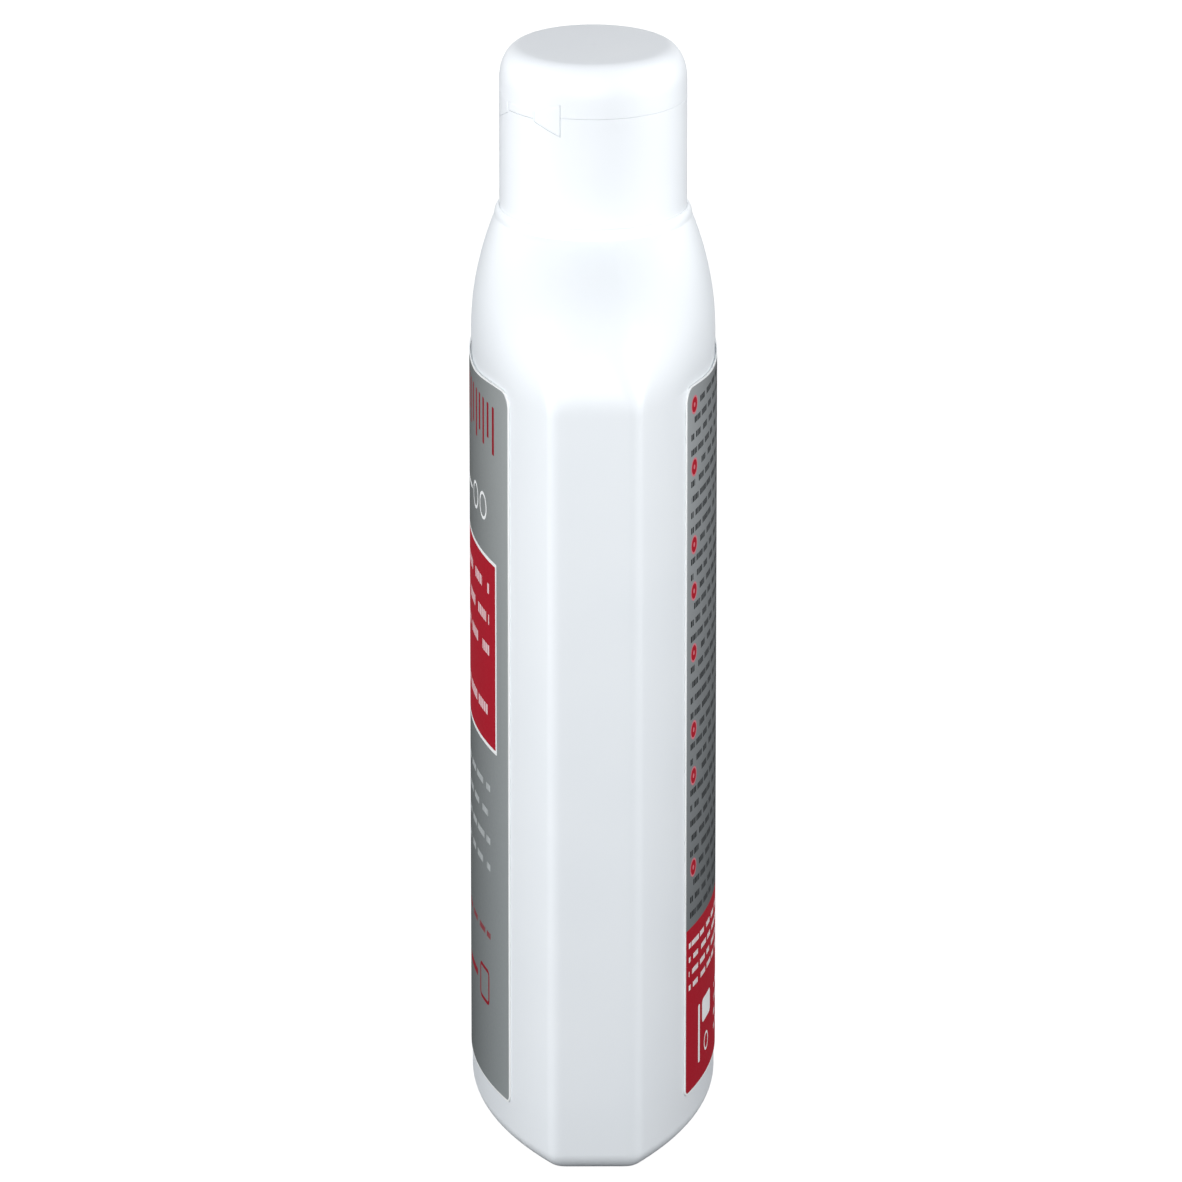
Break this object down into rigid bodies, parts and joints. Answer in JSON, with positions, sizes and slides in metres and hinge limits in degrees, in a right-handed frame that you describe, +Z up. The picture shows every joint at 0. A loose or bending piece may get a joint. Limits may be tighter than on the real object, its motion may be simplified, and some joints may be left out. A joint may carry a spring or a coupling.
{
  "type": "contact lens solution bottle",
  "caption": "Flat white squeeze bottle with lens-shaped plan, front and back labels, and a screw-on flip-top closure with a butterfly hinge.",
  "frame": {"origin": "middle of the foot, at the bottom of the overall box", "axes": "+Z up through the neck, +X along the wide side, +Y through the thickness towards the back label"},
  "size_m": [0.087, 0.04, 0.1758],
  "materials": {
    "bottle_plastic": "white polyethylene, satin",
    "closure_plastic": "white polypropylene, semi-gloss",
    "front_label_film": "silver-grey printed film, satin",
    "back_label_film": "grey printed film, satin",
    "liner_foam": "foamed polyethylene, matte"
  },
  "bodies": {
    "bottle": {"bottle": "bottle_plastic", "front_label": "front_label_film", "back_label": "back_label_film"},
    "seal": {"seal_liner": "liner_foam"},
    "closure": {"closure_base": "closure_plastic", "hinge_film": "closure_plastic", "hinge_wing_left": "closure_plastic", "hinge_wing_right": "closure_plastic"},
    "lid": {"lid": "closure_plastic"}
  },
  "joints": [
    {"name": "closure_rise", "type": "slide", "parent": "bottle", "child": "seal", "axis": [0, 0, 1], "range_m": [0, 0.0048]},
    {"name": "closure_turn", "type": "hinge", "parent": "seal", "child": "closure", "pos_m": [0, 0, 0.15], "axis": [0, 0, 1], "range_deg": [0, 540]},
    {"name": "lid_open", "type": "hinge", "parent": "closure", "child": "lid", "pos_m": [0.00939, -0.01202, 0.16745], "axis": [0.788, 0.6157, 0], "range_deg": [0, 165], "deforming": ["hinge_film", "hinge_wing_left", "hinge_wing_right"]}
  ],
  "couplings": [
    {"joint": "closure_rise", "follows": "closure_turn", "m_per_rad": 0.00050532}
  ]
}
